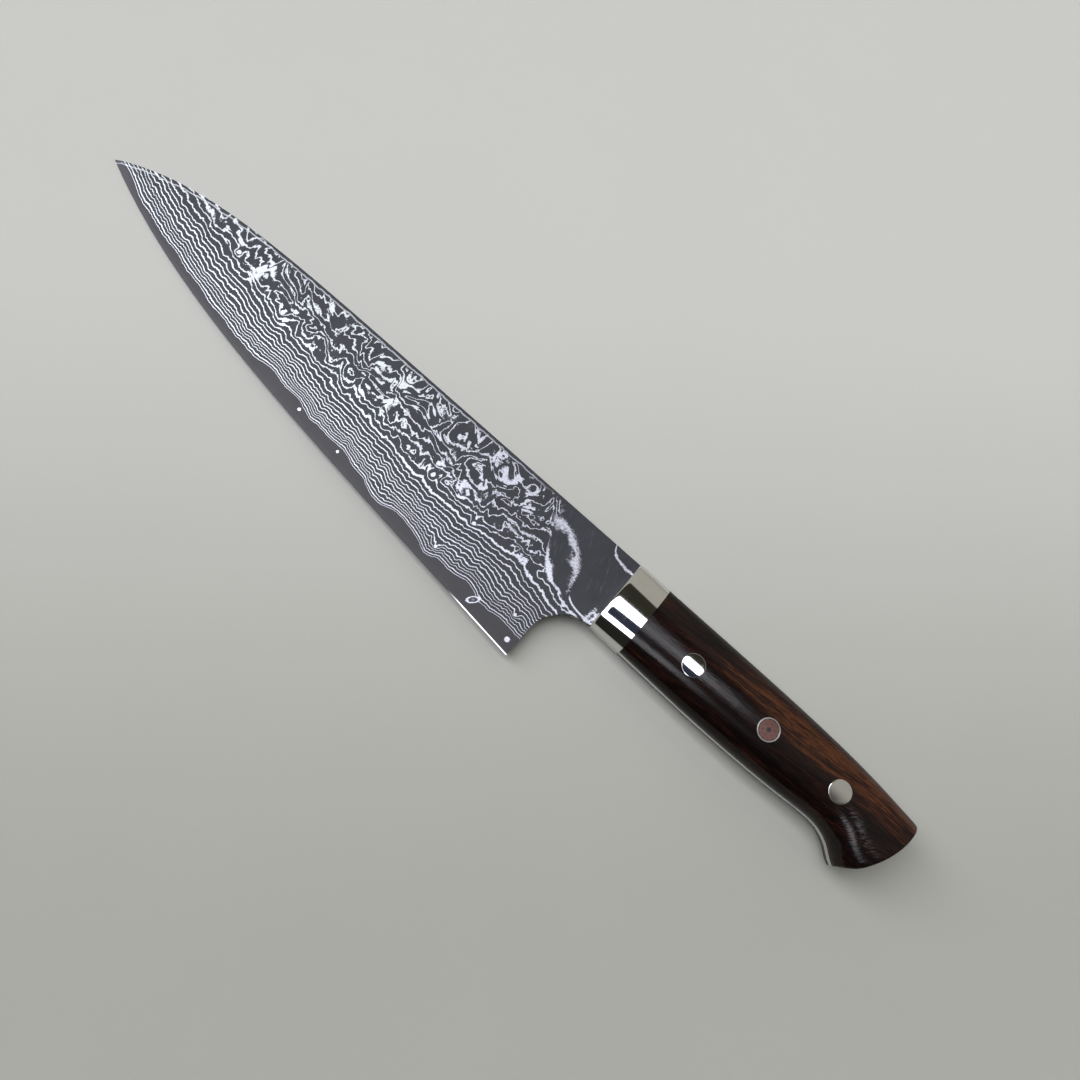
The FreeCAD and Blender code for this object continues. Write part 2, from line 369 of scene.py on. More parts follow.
def make_mesh(name, parts, mirrored=False):
    """Mesh from (points, faces) pairs in knife millimetres."""
    mesh = bpy.data.meshes.new(name)
    built = bmesh.new()
    for points, faces in parts:
        side = -1 if mirrored else 1
        made = [built.verts.new(at(p[0], p[1], side * p[2])) for p in points]
        for face in faces:
            corners = list(dict.fromkeys(face))
            if len(corners) > 2:
                built.faces.new([made[v] for v in corners])
    bmesh.ops.remove_doubles(built, verts=built.verts, dist=MERGE)
    bmesh.ops.dissolve_degenerate(built, edges=built.edges, dist=MERGE)
    bmesh.ops.recalc_face_normals(built, faces=built.faces)
    built.to_mesh(mesh)
    built.free()
    return mesh


def hole_tool():
    """Everything that the pins and dowels take out of the other pieces, as one object."""
    out = DRILL_REACH
    head, barrel, dowel = PIN_RADIUS, BARREL_RADIUS, DOWEL_RADIUS
    rivet = [(0, -out), (head, -out), (head, -HEAD_FLOOR), (barrel, -HEAD_FLOOR)]
    rivet += [(barrel, HEAD_FLOOR), (head, HEAD_FLOOR), (head, out), (0, out)]
    straight = [(0, -out), (head, -out), (head, out), (0, out)]
    blind = [(0, -DOWEL_REACH), (dowel, -DOWEL_REACH), (dowel, DOWEL_REACH), (0, DOWEL_REACH)]
    parts = [turned(x, PIN_Y, rivet) for x in (FRONT_RIVET_X, REAR_RIVET_X)]
    parts.append(turned(MOSAIC_PIN_X, PIN_Y, straight))
    parts += [turned(DOWEL_X, y, blind) for y in DOWEL_YS]
    tool = bpy.data.objects.new("hole_tool", make_mesh("hole_tool", parts))
    bpy.context.scene.collection.objects.link(tool)
    return tool


def drill(piece, tool):
    cut = piece.modifiers.new("holes", "BOOLEAN")
    cut.operation = "DIFFERENCE"
    cut.solver = "EXACT"
    cut.object = tool
    shaped = piece.evaluated_get(bpy.context.evaluated_depsgraph_get())
    solid = piece.data
    piece.data = bpy.data.meshes.new_from_object(shaped)
    piece.modifiers.clear()
    bpy.data.meshes.remove(solid)


def make_piece(name, parts, material, nodes, mirrored=False, tool=None):
    """One object of the knife, with the tool's holes cut out of it if one is given."""
    mesh = make_mesh(name, parts, mirrored)
    mesh.materials.append(material)
    piece = bpy.data.objects.new(name, mesh)
    bpy.context.scene.collection.objects.link(piece)
    if tool:
        drill(piece, tool)
    for polygon in piece.data.polygons:
        polygon.use_smooth = True
    piece.data.set_sharp_from_angle(angle=CREASE)
    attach(piece, "root")
    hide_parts(*nodes)
    return piece


# ---- blade and tang --------------------------------------------------------------------------

BEVEL_ROWS = 2
BAND_ROWS = 8
LOWER_ROWS = 4
UPPER_ROWS = 22
BEVEL_MOST = 3.0
HEEL_CLAD_Y = clad_y(-HEEL_BACK)
MIDDLE_SHARE = (CHOIL_TOP_Y - HEEL_BACK - HEEL_CLAD_Y) / (spine_y(-HEEL_BACK) - HEEL_CLAD_Y)


def bevel_top(x):
    """Height above the edge where the sharpened bevel ends and the grind begins."""
    low, high = 0.0, BEVEL_MOST
    for _ in range(HALVINGS):
        middle = (low + high) / 2
        if EDGE_HALF + BEVEL_SLOPE * middle < grind_half(x, middle):
            low = middle
        else:
            high = middle
    return low


def blade_heights(x):
    """Heights of the mesh rows at x: edge, bevel, core band, and the cladding above it."""
    bottom, clad, top = edge_y(x), clad_y(x), spine_y(x)
    bevel = min(bottom + bevel_top(x), clad)
    middle = clad + (top - clad) * MIDDLE_SHARE
    rows = steps(bottom, bevel, BEVEL_ROWS)
    rows += steps(bevel, clad, BAND_ROWS)[1:]
    rows += steps(clad, middle, LOWER_ROWS)[1:]
    return rows + steps(middle, top, UPPER_ROWS)[1:]


CLAD_ROW = BEVEL_ROWS + BAND_ROWS
CHOIL_ROW = CLAD_ROW + LOWER_ROWS


def blade_column(x):
    """(x, y, half thickness) of each mesh row on the blade, None below the choil."""
    if x <= -HEEL_BACK:
        return [(x, y, blade_half(x, y)) for y in blade_heights(x)]
    rows = steps(choil_y(x), spine_y(x), UPPER_ROWS)
    return [None] * CHOIL_ROW + [(x, y, blade_half(x, y)) for y in rows]


def tang_column(share):
    """The same at a share of the way from the bolster's front to the butt."""
    column = [None] * CHOIL_ROW
    for k in range(UPPER_ROWS + 1):
        up = k / UPPER_ROWS

        def row_point(x):
            belly, spine = handle_row(x)[:2]
            return belly + (spine - belly) * up, TANG_HALF

        x = end_x(row_point) * share
        column.append((x, row_point(x)[0], TANG_HALF))
    return column


TIP_ZONE = 12.0
TIP_STEPS = 24
BLADE_STEPS = 130
CHOIL_STEPS = 16
TANG_STEPS = 70


def steel_columns():
    stations = [-BLADE_LENGTH + TIP_ZONE * (k / TIP_STEPS) ** 2 for k in range(TIP_STEPS)]
    stations += steps(-BLADE_LENGTH + TIP_ZONE, -HEEL_BACK, BLADE_STEPS)
    for k in range(1, CHOIL_STEPS + 1):
        stations.append(-HEEL_BACK * math.cos(math.pi / 2 * k / CHOIL_STEPS))
    columns = [blade_column(x) for x in stations]
    return columns + [tang_column(k / TANG_STEPS) for k in range(1, TANG_STEPS + 1)]


def steel_sheet(columns, first_row, half_of):
    """Points and faces of the rows from first_row up, at half_of(x, half thickness)."""
    points, grid = [], []
    for column in columns:
        line = []
        for row in column[first_row:]:
            if row is None:
                line.append(None)
            else:
                line.append(len(points))
                points.append(Vector((row[0], row[1], half_of(row[0], row[2]))))
        grid.append(line)
    return points, grid_faces(grid)


def core_half(x):
    return taper(CORE_HALF, CORE_TIP_HALF, x)


def make_steel(material, tool):
    columns = steel_columns()
    top, faces = steel_sheet(columns, 0, lambda x, half: min(half, core_half(x)))
    bottom = [Vector((p.x, p.y, -p.z)) for p in top]
    core = thick_sheet(top, bottom, faces)
    nodes = ["blade_core"]
    pieces = [make_piece("core_steel_layer", [core], material, nodes, tool=tool)]

    outer, faces = steel_sheet(columns, CLAD_ROW, lambda x, half: max(half, core_half(x)))
    inner, _ = steel_sheet(columns, CLAD_ROW, lambda x, half: core_half(x))
    cladding = thick_sheet(outer, inner, faces)
    for side in ("left", "right"):
        name, nodes = "damascus_" + side, ["cladding_" + side]
        right = side == "right"
        pieces.append(make_piece(name, [cladding], material, nodes, right, tool))
    for piece in pieces:
        mark_heights(piece)
    return pieces


# x and height above the edge of the etched line where the cladding meets the plain core
CORE_LINE = (
    (-205.0, 2.0),
    (-197.5, 2.0),
    (-190.0, 2.4),
    (-182.5, 1.5),
    (-178.0, 2.0),
    (-170.0, 2.0),
    (-163.0, 2.8),
    (-158.5, 2.2),
    (-151.0, 2.7),
    (-146.0, 2.0),
    (-140.0, 2.6),
    (-135.0, 2.2),
    (-130.0, 2.5),
    (-125.0, 2.7),
    (-121.5, 3.8),
    (-118.0, 4.7),
    (-112.5, 4.0),
    (-108.0, 4.8),
    (-104.0, 4.4),
    (-101.0, 3.3),
    (-97.0, 3.9),
    (-92.0, 4.0),
    (-87.0, 4.9),
    (-82.0, 3.6),
    (-77.0, 3.5),
    (-74.0, 2.3),
    (-71.0, 1.8),
    (-68.0, 2.2),
    (-65.0, 3.6),
    (-62.0, 4.2),
    (-57.0, 3.9),
    (-53.0, 3.2),
    (-50.5, 2.2),
    (-48.0, 2.3),
    (-46.0, 3.8),
    (-41.0, 4.0),
    (-38.0, 4.6),
    (-35.0, 5.9),
    (-32.0, 5.4),
    (-29.0, 4.3),
    (-24.0, 4.7),
    (-21.0, 5.6),
    (-12.0, 5.8),
    (0.0, 5.8),
    (200.0, 5.8),
)


def mark_heights(piece):
    """Stores millimetres above the edge and below the spine, and the core line's height."""
    names = ("above_edge", "below_spine", "core_line")
    above, below, core = [piece.data.attributes.new(name, "FLOAT", "POINT").data for name in names]
    for i, vertex in enumerate(piece.data.vertices):
        place = (vertex.co - ORIGIN) / MM
        above[i].value = place.y - edge_y(min(place.x, -HEEL_BACK))
        below[i].value = spine_y(place.x) - place.y
        core[i].value = blend_value(CORE_LINE, 1, min(place.x, 0.0))


# ---- bolster and scales ----------------------------------------------------------------------

TURNS = 72
WALL_STEPS = 10
BOLSTER_ROUND = 0.5
BOLSTER_LEAD = 1.1  # length along the knife that the front rounding takes
LEAD_STEPS = 8
BOLSTER_STEPS = 26
SCALE_STEPS = 150
BUTT_ROUND = 0.7
ROUND_STEPS = 6
BUTT_ZONE_X = 85.0
BUTT_CATCH = 2.5  # wall points this near to the butt's face belong to it


def round_inset(distance, radius):
    """How far a surface falls back at a distance from its rounded end."""
    if distance >= radius:
        return 0.0
    return radius - math.sqrt(max(0.0, radius**2 - (radius - distance) ** 2))


def turn_angles():
    return [math.pi * k / TURNS for k in range(TURNS + 1)]


def make_bolsters(material, tool):
    turns = [math.pi / 2 * k / LEAD_STEPS for k in range(LEAD_STEPS)]
    stations = [BOLSTER_LEAD * (1 - math.cos(turn)) for turn in turns]
    stations += steps(BOLSTER_LEAD, BOLSTER_LENGTH, BOLSTER_STEPS)
    top, bottom, grid = [], [], []
    for x in stations:
        inset = round_inset(x / BOLSTER_LEAD, 1.0) * BOLSTER_ROUND
        line = []
        for turn in turn_angles():
            y, z = handle_point(x, turn, inset)
            middle = (handle_row(x)[0] + handle_row(x)[1]) / 2
            y += math.copysign(min(inset, abs(y - middle)), middle - y)
            line.append(len(top))
            top.append(Vector((x, y, z)))
            bottom.append(Vector((x, y, TANG_HALF)))
        grid.append(line)
    solid = thick_sheet(top, bottom, grid_faces(grid), WALL_STEPS)
    for side in ("left", "right"):
        name = "bolster_" + side
        right = side == "right"
        make_piece(name + "_polished", [solid], material, [name], right, tool)


def scale_line(turn):
    """Points along the scale at one turn, from the bolster to the butt, with rounding."""
    last = end_x(lambda x: handle_point(x, turn, BUTT_ROUND))
    xs = steps(BOLSTER_LENGTH, last - BUTT_ROUND, SCALE_STEPS)
    turns = [math.pi / 2 * k / ROUND_STEPS for k in range(1, ROUND_STEPS + 1)]
    xs += [last - BUTT_ROUND * (1 - math.sin(turn)) for turn in turns]
    line = []
    for x in xs:
        y, z = handle_point(x, turn, round_inset(last - x, BUTT_ROUND))
        line.append(Vector((x, y, max(z, TANG_HALF))))
    return line


def settle_on_butt(place):
    """A wall point of the scale, moved onto the butt's face if it is at that end."""
    x = butt_x(place.y, place.z)
    if place.x < BUTT_ZONE_X or abs(place.x - x) > BUTT_CATCH:
        return place
    return Vector((x, place.y, place.z))


def make_scales(material, tool):
    top, bottom, grid = [], [], []
    for turn in turn_angles():
        line = scale_line(turn)
        end = line[-1]
        inner_end = butt_x(end.y, TANG_HALF)
        stretch = (inner_end - BOLSTER_LENGTH) / (end.x - BOLSTER_LENGTH)
        grid.append(range(len(top), len(top) + len(line)))
        top += line
        for p in line:
            bottom.append(Vector((BOLSTER_LENGTH + (p.x - BOLSTER_LENGTH) * stretch, p.y, TANG_HALF)))
    solid = thick_sheet(top, bottom, grid_faces([list(line) for line in grid]), WALL_STEPS, settle_on_butt)
    for side in ("left", "right"):
        name = "scale_" + side
        right = side == "right"
        make_piece(name + "_lacquered", [solid], material, [name], right, tool)


# ---- pins ------------------------------------------------------------------------------------

PIN_PROUD = 0.03
PIN_RIM = 0.12
ROD_RIM = 0.02
RIM_DROP = 0.6  # depth of a head's rounded rim, as a share of its width
CROWN_STEPS = 6
RIM_STEPS = 4
ROD_SHARE = 0.97  # the rods stand a little apart
MOSAIC_RINGS = (6, 12)
TUBE_INNER_LIP = (0.04, 0.03)  # width and depth
TUBE_OUTER_LIP = (0.06, 0.05)
RESIN_DROP = 0.06
RESIN_STEPS = 12


def head_surface(drop=0.0):
    """Height of a head that follows the handle's surface, less a drop."""
    return lambda x, y: handle_surface(x, y) + PIN_PROUD - drop


def crown(radius, rim=PIN_RIM):
    """Rings of a head that follows the handle, from its centre to its rounded rim."""
    rings = [(ring, head_surface()) for ring in steps(0, radius - rim, CROWN_STEPS)]
    for k in range(1, RIM_STEPS + 1):
        angle = math.pi / 2 * k / RIM_STEPS
        drop = rim * RIM_DROP * (1 - math.cos(angle))
        rings.append((radius - rim + rim * math.sin(angle), head_surface(drop)))
    return rings


def make_rivets(material):
    female = crown(PIN_RADIUS) + [
        (PIN_RADIUS, HEAD_FLOOR),
        (BARREL_RADIUS, HEAD_FLOOR),
        (BARREL_RADIUS, -HEAD_FLOOR),
        (STEM_RADIUS, -HEAD_FLOOR),
        (STEM_RADIUS, HEAD_FLOOR),
        (0, HEAD_FLOOR),
    ]
    male = crown(PIN_RADIUS) + [
        (PIN_RADIUS, HEAD_FLOOR),
        (STEM_RADIUS, HEAD_FLOOR),
        (STEM_RADIUS, -STEM_END),
        (0, -STEM_END),
    ]
    for name, x in (("front_rivet", FRONT_RIVET_X), ("rear_rivet", REAR_RIVET_X)):
        for end, rings in (("female", female), ("male", male)):
            solid = turned(x, PIN_Y, rings)
            nodes = [name + "_" + end]
            make_piece(nodes[0] + "_steel", [solid], material, nodes, end == "male")


def mosaic_places():
    """Radius of the rods, and their centres in the two rings round the middle one."""
    inner_count, outer_count = MOSAIC_RINGS
    inside = PIN_RADIUS - MOSAIC_WALL
    half_step = math.pi / outer_count
    rod = inside / (1 + 1 / math.sin(half_step))
    places = []
    for count, ring, start in ((inner_count, 2 * rod, 0.0), (outer_count, inside - rod, half_step)):
        for k in range(count):
            angle = start + 2 * math.pi * k / count
            places.append((ring * math.cos(angle), ring * math.sin(angle)))
    return rod * ROD_SHARE, places


def through_pin(x, y, rings):
    """A pin that shows on both sides: the two halves, closed at the middle plane."""
    half = turned(x, y, rings + [(rings[-1][0], 0.0)])
    points, faces = half
    low = [Vector((p.x, p.y, -p.z)) for p in points]
    return [half, (low, faces)]


def make_mosaic(tube_steel, copper, centre_steel, resin):
    rod, places = mosaic_places()
    inside = PIN_RADIUS - MOSAIC_WALL
    x, y = MOSAIC_PIN_X, PIN_Y
    inner_lip, inner_drop = TUBE_INNER_LIP
    outer_lip, outer_drop = TUBE_OUTER_LIP
    wall = [(inside, 0.0), (inside, head_surface(inner_drop))]
    wall += [(inside + inner_lip, head_surface()), (PIN_RADIUS - outer_lip, head_surface())]
    wall += [(PIN_RADIUS, head_surface(outer_drop))]
    tube = through_pin(x, y, wall)
    make_piece("mosaic_tube_steel", tube, tube_steel, ["mosaic_pin_tube"])
    rods = []
    for dx, dy in places:
        rods += through_pin(x + dx, y + dy, crown(rod, ROD_RIM))
    make_piece("mosaic_rods_copper", rods, copper, ["mosaic_pin_rods"])
    centre = through_pin(x, y, crown(rod, ROD_RIM))
    make_piece("mosaic_centre_steel", centre, centre_steel, ["mosaic_pin_centre"])
    fill = through_pin(x, y, [(r, head_surface(RESIN_DROP)) for r in steps(0, inside, RESIN_STEPS)])
    make_piece("mosaic_fill_resin", fill, resin, ["mosaic_pin_resin"])


# ---- shader arithmetic -----------------------------------------------------------------------


class Term:
    """A shader value that ordinary arithmetic turns into Math nodes."""

    def __init__(self, tree, socket):
        self.tree = tree
        self.socket = socket

    def math(self, operation, *others):
        node = self.tree.nodes.new("ShaderNodeMath")
        node.operation = operation
        for slot, value in zip(node.inputs, (self,) + others):
            if isinstance(value, Term):
                self.tree.links.new(value.socket, slot)
            else:
                slot.default_value = value
        return Term(self.tree, node.outputs[0])

    def __add__(self, other):
        return self.math("ADD", other)

    def __sub__(self, other):
        return self.math("SUBTRACT", other)

    def __mul__(self, other):
        return self.math("MULTIPLY", other)

    def __truediv__(self, other):
        return self.math("DIVIDE", other)

    def __rsub__(self, other):
        return (self * -1.0) + other

    __radd__ = __add__
    __rmul__ = __mul__

    def fade(self, start, end):
        """0 before start and 1 after end, with a smooth change between them."""
        node = self.tree.nodes.new("ShaderNodeMapRange")
        node.interpolation_type = "SMOOTHSTEP"
        self.tree.links.new(self.socket, node.inputs["Value"])
        node.inputs["From Min"].default_value = min(start, end)
        node.inputs["From Max"].default_value = max(start, end)
        node.inputs["To Min"].default_value = 0.0 if start < end else 1.0
        node.inputs["To Max"].default_value = 1.0 if start < end else 0.0
        return Term(self.tree, node.outputs["Result"])


def attribute(tree, name):
    node = tree.nodes.new("ShaderNodeAttribute")
    node.attribute_name = name
    return Term(tree, node.outputs["Fac"])


def knife_place(tree):
    """x, y and z in knife millimetres."""
    coordinates = tree.nodes.new("ShaderNodeTexCoord")
    mapping = tree.nodes.new("ShaderNodeMapping")
    mapping.vector_type = "POINT"
    mapping.inputs["Scale"].default_value = (1 / MM,) * 3
    mapping.inputs["Location"].default_value = -ORIGIN / MM
    tree.links.new(coordinates.outputs["Object"], mapping.inputs["Vector"])
    split = tree.nodes.new("ShaderNodeSeparateXYZ")
    tree.links.new(mapping.outputs["Vector"], split.inputs[0])
    return [Term(tree, split.outputs[k]) for k in range(3)]


def noise(x, y, z, detail=2.0, roughness=0.5, distortion=0.0):
    """Fractal noise from about -1 to 1 at the point (x, y, z)."""
    tree = x.tree
    join = tree.nodes.new("ShaderNodeCombineXYZ")
    for slot, value in zip(join.inputs, (x, y, z)):
        if isinstance(value, Term):
            tree.links.new(value.socket, slot)
        else:
            slot.default_value = value
    node = tree.nodes.new("ShaderNodeTexNoise")
    node.inputs["Scale"].default_value = 1.0
    node.inputs["Detail"].default_value = detail
    node.inputs["Roughness"].default_value = roughness
    node.inputs["Distortion"].default_value = distortion
    tree.links.new(join.outputs[0], node.inputs["Vector"])
    return Term(tree, node.outputs["Fac"]) * 2.0 - 1.0


def colour_mix(share, low, high):
    """Colour that goes from low to high with share; each is a colour or a socket."""
    tree = share.tree
    node = tree.nodes.new("ShaderNodeMix")
    node.data_type = "RGBA"
    tree.links.new(share.socket, node.inputs[0])
    for slot, value in ((node.inputs[6], low), (node.inputs[7], high)):
        if isinstance(value, bpy.types.NodeSocket):
            tree.links.new(value, slot)
        else:
            slot.default_value = value
    return node.outputs[2]


def grey(value, tint=(1.0, 1.0, 1.0)):
    return (value * tint[0], value * tint[1], value * tint[2], 1.0)


def grey_mix(share, shades, tint=(1.0, 1.0, 1.0)):
    return colour_mix(share, grey(shades[0], tint), grey(shades[1], tint))


def new_material(name, metallic=0.0, roughness=0.5):
    material = bpy.data.materials.new(name)
    material.use_nodes = True
    tree = material.node_tree
    shader = tree.nodes["Principled BSDF"]
    shader.inputs["Metallic"].default_value = metallic
    shader.inputs["Roughness"].default_value = roughness
    return material, tree, shader


def drive(shader, name, value):
    socket = value.socket if isinstance(value, Term) else value
    shader.id_data.links.new(socket, shader.inputs[name])


def bump(shader, height, distance, strength=1.0, coat=False):
    """Bump from a height of 0 to 1, where 1 stands for distance metres."""
    tree = shader.id_data
    node = tree.nodes.new("ShaderNodeBump")
    node.inputs["Strength"].default_value = strength
    node.inputs["Distance"].default_value = distance
    tree.links.new(height.socket, node.inputs["Height"])
    tree.links.new(node.outputs["Normal"], shader.inputs["Normal"])
    if coat:
        tree.links.new(node.outputs["Normal"], shader.inputs["Coat Normal"])


# ---- laminated steel -------------------------------------------------------------------------

SILVER = (0.97, 1.0, 1.03)
LAVENDER = (0.96, 0.965, 1.06)
COOL = (0.95, 0.97, 1.08)
CORE_TINT = (0.99, 0.97, 1.03)
DARK_LAYER = (0.034, 0.070)
TIP_LAYER = (0.22, 0.56)
HEEL_LAYER = (0.20, 0.50)
CORE_BAND = (0.043, 0.072)
TANG_STEEL = (0.50, 0.62)
# grey of the polished edge line, which also carries a painted highlight
EDGE_POLISH_AND_HIGHLIGHT_GREY = 0.72
ETCH_DEPTH = 0.000012  # metres, as are the other bump depths
# x, y and radius of the bright spots, each with rings round it
SPOTS = (
    (-18.1, -35.7, 0.5),
    (-48.2, -35.9, 0.5),
    (-15.2, -42.6, 0.85),
    (-104.6, -31.9, 0.55),
    (-87.9, -33.9, 0.45),
    (-63.0, -20.6, 0.6),
    (-44.5, -23.4, 0.6),
    (-128.5, -13.2, 0.7),
    (-150.8, -8.0, 0.7),
)
# the same of the patches near the spine where the bright layers widen and run together
PATCHES = (
    (-141.8, -5.4, 2.6),
    (-142.4, -9.6, 1.9),
    (-152.5, -6.0, 1.8),
    (-125.8, -9.6, 2.0),
    (-126.2, -14.6, 1.4),
    (-119.0, -3.6, 1.6),
    (-88.0, -4.8, 2.3),
    (-86.2, -11.5, 2.4),
    (-94.6, -16.0, 2.2),
    (-96.4, -6.5, 1.6),
    (-78.5, -2.6, 1.7),
    (-75.0, -6.2, 1.9),
    (-52.8, -2.6, 2.2),
    (-45.2, -5.6, 2.6),
    (-52.6, -18.2, 2.1),
    (-50.4, -12.4, 1.6),
    (-36.4, -8.6, 1.8),
    (-64.0, -17.6, 1.5),
)
LOOP = (-30.0, -40.4)  # a drop of cladding that hangs into the core
LOOP_LENGTH = 2.1
STRAND_CENTRE = (-29.0, -24.0)
STRAND_RADIUS = 18.3


def round_distance(x, y, centre, stretch=1.0):
    """Distance from a centre, with Y stretched."""
    dx = x - centre[0]
    dy = (y - centre[1]) * stretch
    return (dx * dx + dy * dy).math("SQRT")


def strand_masks(x, y, wobble, feather):
    """Bright strands round the plain area in front of the bolster, and that plain area."""
    reach = round_distance(x, y, STRAND_CENTRE) + wobble * 2.2
    off = (reach - STRAND_RADIUS + feather * 7.5).math("ABSOLUTE")
    width = y.fade(-19.0, -12.0) * (wobble * 2.0 + 0.9) * 1.2 + 0.22
    ends = x.fade(-25.0, -31.0) * 1.4 + y.fade(-20.0, -22.5) * 1.4
    outer = (off / width + ends).fade(1.4, 0.4) * (1.0 - feather.fade(0.0, 0.08) * 0.6)

    inner_y = ((x + 25.0) / -8.0).math("EXPONENT") * 13.2 - 25.8 + wobble * 2.0
    fuzz = x.fade(-25.0, -21.5) * x.fade(-15.5, -18.5)
    off = (y - inner_y + feather * (fuzz * 5.0 + 1.2)).math("ABSOLUTE")
    inner = (off / (fuzz * 0.9 + 0.32)).fade(1.3, 0.6) * x.fade(-26.0, -22.5)

    tail_y = ((x + 9.6) / -2.4).math("EXPONENT") * 1.9 - 23.35
    tail = (y - tail_y + feather * 0.6).math("ABSOLUTE").fade(0.36, 0.18) * x.fade(-10.2, -9.4)
    fall = ((x + 8.8) / -1.5).math("EXPONENT") * 3.2 - 3.8
    short = (y - fall + feather * 2.4 + wobble).math("ABSOLUTE").fade(0.5, 0.2) * x.fade(-10.0, -9.0)
    corner = round_distance(x, y, (-1.2, -21.4), 0.75) + feather * 7.0 + wobble * 2.6
    knot = (corner - 1.1).math("ABSOLUTE").fade(0.75, 0.35)
    plain = (y - inner_y).fade(0.2, 1.0) * x.fade(-29.0, -26.5)
    marks = outer
    for mark in (inner, tail, short, knot):
        marks = marks.math("MAXIMUM", mark)
    return marks, plain


def spot_masks(x, y, feather):
    """Bright cores of the spots, and how strongly each point lies in a spot's rings."""
    cores = rings = None
    for sx, sy, radius in SPOTS:
        reach = round_distance(x, y, (sx, sy)) + feather
        core = reach.fade(radius * 1.15, radius * 0.8)
        ring = (reach * reach / (-3.2 * radius)).math("EXPONENT")
        cores = core if cores is None else cores.math("MAXIMUM", core)
        rings = ring if rings is None else rings.math("MAXIMUM", ring)
    dx, dy = x - LOOP[0], y - LOOP[1]
    down = dx * 0.67 + dy * 0.74
    across = dx * 0.74 - dy * 0.67
    reach = (down * down / LOOP_LENGTH**2 + across * across).math("SQRT") + feather * 1.3
    loop = (reach - 0.85).math("ABSOLUTE").fade(0.26, 0.08).math("MAXIMUM", reach.fade(0.5, 0.1) * 0.5)
    return cores.math("MAXIMUM", loop), rings


def layer_mask(x, y, above, below, core, side):
    """Bright layers of the stack, and how far each point is above the plain core."""
    common = x.fade(-140.0, -110.0) * 1.7 + x.fade(-50.0, -25.0) + 2.3
    settled = above - common
    fading = (settled.math("MAXIMUM", 0.0) / -5.0).math("EXPONENT")
    tooth = noise(x / 1.7, side, 9.0, 3.0, 0.6) * 0.5
    depth = settled - (core - common + tooth) * fading
    feather = noise(x / 0.6, y / 0.6, side, 4.0, 0.8) * 0.30
    wobble = noise(x / 4.0, y / 4.0, side + 5.0, 3.0, 0.6)
    cores, rings = spot_masks(x, y, feather)

    # the layers that the grind crosses, close together near the edge and open above
    warp = noise(x / 9.0, above / 16.0, side, 2.0, 0.5) * 2.0
    kinks = noise(x / 2.8, above / 11.0, side + 4.0, 2.0, 0.6) * 1.15
    ripple = noise(x / 2.0, above / 2.6, side + 7.0, 2.0, 0.6) * 0.35
    bend = warp * depth.fade(0.0, 7.0) + (kinks + ripple) * depth.fade(0.0, 3.0)
    fan = x.fade(-27.0, -7.0) * above.fade(10.0, 20.0) * 2.4
    d = (depth + bend + fan).math("MAXIMUM", 0.0)
    heel = x.fade(-62.0, -30.0)
    middle = x.fade(-150.0, -95.0)
    closeness = middle * 0.40 - heel * 0.38 + 1.14
    opening = heel * 5.0 - middle * 5.0 + 18.0
    layers = (1.0 - (d / opening * -1.0).math("EXPONENT")) * closeness * opening + rings * 1.2
    layers = layers + noise(layers / 1.3, side, 0.5, 1.0, 0.5) * 0.5

    # the flat above the grind: islands, hooks and rings
    open_zone = above.fade(12.0, 22.0) * x.fade(-8.0, -24.0) * y.fade(-24.0, -19.0)
    islands = noise(x / 8.4, above / 8.8, side + 11.0, 3.0, 0.5, 0.9) * 3.4
    patches = noise(x / 5.0, y / 6.5, side + 17.0, 2.0, 0.5, 0.5).fade(0.05, 0.4) * open_zone
    layers = layers + islands * open_zone + feather * (above.fade(6.0, 20.0) * 0.9 + patches * 2.4)

    away = (layers.math("FRACT") - 0.5).math("ABSOLUTE")
    width = 0.125 - heel * 0.015 - open_zone * 0.03 + patches * 0.12
    for px, py, radius in PATCHES:
        reach = round_distance(x, y, (px, py)) + wobble * 4.5 + feather * 2.0
        width = width + reach.fade(radius * 1.4, radius * 0.3) * (feather * 1.1 + 0.26)
    bright = (away / width).fade(1.2, 0.75) * depth.fade(-0.05, 0.1)

    marks, plain = strand_masks(x, y, wobble, feather)
    bare_spine = (below + x.fade(-140.0, -165.0) * 3.0 + wobble).fade(0.6, 1.8)
    bright = bright * (1.0 - plain) * bare_spine
    crest = (below - 1.1 + wobble * 0.8).math("ABSOLUTE").fade(0.3, 0.1) * x.fade(-32.0, -42.0) * 0.6
    cloud = noise((x + y * 0.4) / 1.1, (y - x * 0.4) / 7.0, side + 2.0, 3.0, 0.6).fade(0.1, 0.6)
    bright = bright.math("MAXIMUM", crest).math("MAXIMUM", cloud * plain * 0.10)
    return bright.math("MAXIMUM", marks).math("MAXIMUM", cores), depth


